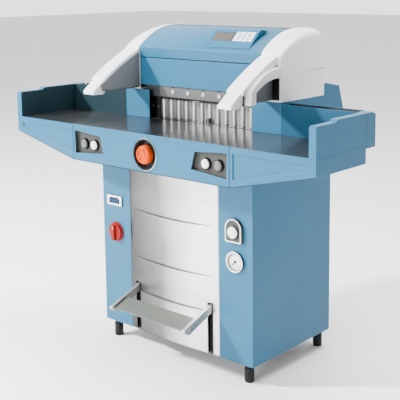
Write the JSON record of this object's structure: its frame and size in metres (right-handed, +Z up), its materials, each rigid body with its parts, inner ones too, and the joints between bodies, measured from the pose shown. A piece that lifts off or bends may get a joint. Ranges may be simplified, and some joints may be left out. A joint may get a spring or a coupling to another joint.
{
  "type": "guillotine paper cutter",
  "caption": "Floor-standing hydraulic guillotine paper cutter with side tables, a blue cabinet, white safety arms and a foot pedal.",
  "frame": {"origin": "on the floor below the middle of the machine's bounding box", "axes": "+X to the operator's right, +Y away from the operator, +Z up"},
  "size_m": [1.478, 0.866, 1.254],
  "materials": {
    "blue_paint": "satin",
    "white_shell": "satin",
    "brushed_steel": "brushed",
    "table_steel": "polished",
    "cast_frame": "satin",
    "tool_steel": "ground",
    "bolt_steel": "bright",
    "aluminium": "satin",
    "black_plastic": "matte",
    "grey_plastic": "matte",
    "white_plastic": "gloss",
    "orange_plastic": "gloss",
    "red_plastic": "gloss",
    "cutting_plastic": "matte",
    "dark_paint": "satin",
    "display_glass": "gloss"
  },
  "bodies": {
    "machine": {"base_plate": "dark_paint", "corner_posts": "dark_paint", "levelling_feet": "black_plastic", "left_column_panel": "blue_paint", "right_column_panel": "blue_paint", "pedestal_side_panels": "blue_paint", "rear_panel": "blue_paint", "steel_front_panel": "brushed_steel", "main_table": "table_steel", "cutting_stick": "cutting_plastic", "rear_table": "table_steel", "rear_table_walls": "blue_paint", "front_apron": "blue_paint", "button_pods": "grey_plastic", "button_contact_blocks": "black_plastic", "handwheel_bezel": "black_plastic", "counter": "white_plastic", "main_switch_base": "red_plastic", "power_switch_plate": "white_plastic", "pressure_gauge": "white_plastic", "wing_bodies": "blue_paint", "wing_tables": "table_steel", "wing_side_walls": "blue_paint", "wing_rear_fences": "blue_paint", "side_frames": "cast_frame", "crossbeam": "cast_frame", "frame_covers": "blue_paint", "fascia": "blue_paint", "hood": "blue_paint", "rear_hood": "dark_paint", "side_covers": "white_shell", "safety_arms": "white_shell", "arm_struts": "white_shell", "control_box": "blue_paint", "display_window": "display_glass", "keypad": "white_plastic", "hydraulic_cylinders": "tool_steel", "hydraulic_power_pack": "dark_paint", "electrical_box": "grey_plastic", "shaft_bearings": "cast_frame", "gauge_motor": "dark_paint"},
    "knife": {"knife_carrier": "tool_steel", "knife_blade": "tool_steel", "knife_bolts": "bolt_steel"},
    "clamp": {"clamp_beam": "cast_frame", "clamp_pull_rods": "tool_steel"},
    "back_gauge": {"back_gauge_comb": "aluminium", "gauge_carriage": "cast_frame"},
    "lead_screw": {"lead_screw": "tool_steel"},
    "handwheel": {"handwheel": "orange_plastic"},
    "left_outer_button": {"left_outer_button": "grey_plastic"},
    "left_inner_button": {"left_inner_button": "white_plastic"},
    "right_inner_button": {"right_inner_button": "white_plastic"},
    "right_outer_button": {"right_outer_button": "grey_plastic"},
    "power_button": {"power_button": "white_plastic"},
    "main_switch_knob": {"main_switch_knob": "red_plastic"},
    "gauge_needle": {"gauge_needle": "black_plastic"},
    "pedal": {"pedal_shaft": "tool_steel", "pedal_arms": "aluminium", "pedal_tread": "aluminium"}
  },
  "joints": [
    {"name": "knife_stroke", "type": "slide", "parent": "machine", "child": "knife", "axis": [-0.5229, 0, -0.8524], "range_m": [0, 0.09562], "stiffness_N_per_m": 300, "springref_m": -0.4},
    {"name": "clamp_stroke", "type": "slide", "parent": "machine", "child": "clamp", "axis": [0, 0, -1], "range_m": [0, 0.08], "stiffness_N_per_m": 400, "springref_m": -0.6},
    {"name": "gauge_travel", "type": "slide", "parent": "machine", "child": "back_gauge", "axis": [0, 1, 0], "range_m": [0, 0.42]},
    {"name": "screw_spin", "type": "hinge", "parent": "machine", "child": "lead_screw", "pos_m": [0, 0.119, 0.835], "axis": [0, 1, 0], "continuous": true},
    {"name": "handwheel_turn", "type": "hinge", "parent": "machine", "child": "handwheel", "pos_m": [0, -0.417, 0.816], "axis": [0, 1, 0], "continuous": true},
    {"name": "main_switch_turn", "type": "hinge", "parent": "machine", "child": "main_switch_knob", "pos_m": [-0.308, -0.291, 0.448], "axis": [0, 1, 0], "range_deg": [0, 90]},
    {"name": "needle_swing", "type": "hinge", "parent": "machine", "child": "gauge_needle", "pos_m": [0.307, -0.287, 0.447], "axis": [0, 1, 0], "range_deg": [0, 270]},
    {"name": "pedal_press", "type": "hinge", "parent": "machine", "child": "pedal", "pos_m": [0, 0.139, 0.29], "axis": [1, 0, 0], "range_deg": [0, 15], "stiffness_Nm_per_rad": 25, "springref_deg": -28.65},
    {"name": "left_outer_button_press", "type": "slide", "parent": "machine", "child": "left_outer_button", "axis": [0, 1, 0], "range_m": [0, 0.004], "stiffness_N_per_m": 400, "springref_m": -0.004},
    {"name": "left_inner_button_press", "type": "slide", "parent": "machine", "child": "left_inner_button", "axis": [0, 1, 0], "range_m": [0, 0.004], "stiffness_N_per_m": 400, "springref_m": -0.004},
    {"name": "right_inner_button_press", "type": "slide", "parent": "machine", "child": "right_inner_button", "axis": [0, 1, 0], "range_m": [0, 0.004], "stiffness_N_per_m": 400, "springref_m": -0.004},
    {"name": "right_outer_button_press", "type": "slide", "parent": "machine", "child": "right_outer_button", "axis": [0, 1, 0], "range_m": [0, 0.004], "stiffness_N_per_m": 400, "springref_m": -0.004},
    {"name": "power_button_press", "type": "slide", "parent": "machine", "child": "power_button", "axis": [0, 1, 0], "range_m": [0, 0.004], "stiffness_N_per_m": 400, "springref_m": -0.004}
  ],
  "couplings": [
    {"joint": "screw_spin", "follows": "gauge_travel", "rad_per_m": 628.3}
  ]
}
